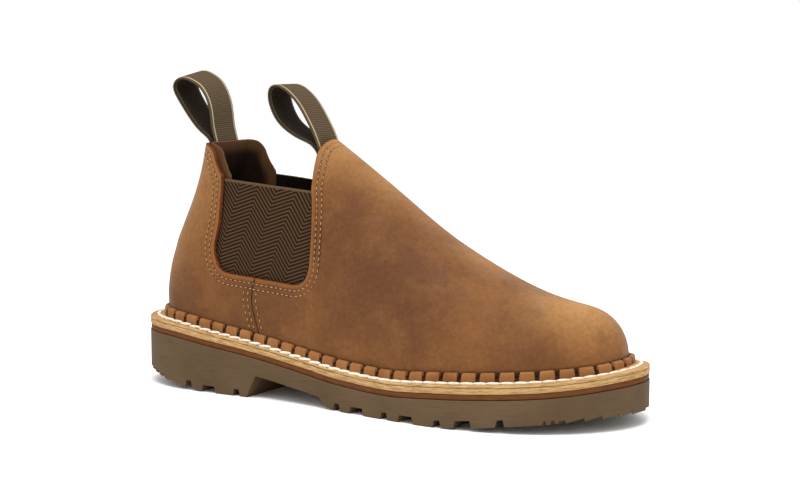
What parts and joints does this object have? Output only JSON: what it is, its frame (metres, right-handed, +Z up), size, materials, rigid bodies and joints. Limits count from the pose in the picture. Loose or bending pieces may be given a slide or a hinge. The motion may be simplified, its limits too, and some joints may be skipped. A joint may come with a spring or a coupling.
{
  "type": "side gore work boot",
  "caption": "Low leather work boot with elastic side panels, two pull loops, notched welt, midsole and lugged rubber sole with a heel. Right shoe, empty.",
  "frame": {"origin": "on the floor, under the centre of the boot's box", "axes": "+X towards the toe, +Y to the medial (inner) side, +Z up from the floor"},
  "size_m": [0.308, 0.1056, 0.1789],
  "materials": {
    "upper_leather": "matt oiled leather",
    "elastic": "woven herringbone elastic",
    "rubber": "matt rubber",
    "welt_leather": "satin welt",
    "midsole_tan": "satin, stacked grain",
    "rand_brown": "satin",
    "webbing": "woven tape",
    "insole_lining": "matt"
  },
  "bodies": {
    "root": {"outsole": "rubber", "rand": "rand_brown", "midsole": "midsole_tan", "welt": "welt_leather", "upper": "upper_leather", "insole": "insole_lining", "gore_lateral": "elastic", "gore_medial": "elastic", "heel_pull_loop": "webbing", "front_pull_loop": "webbing"}
  },
  "joints": []
}
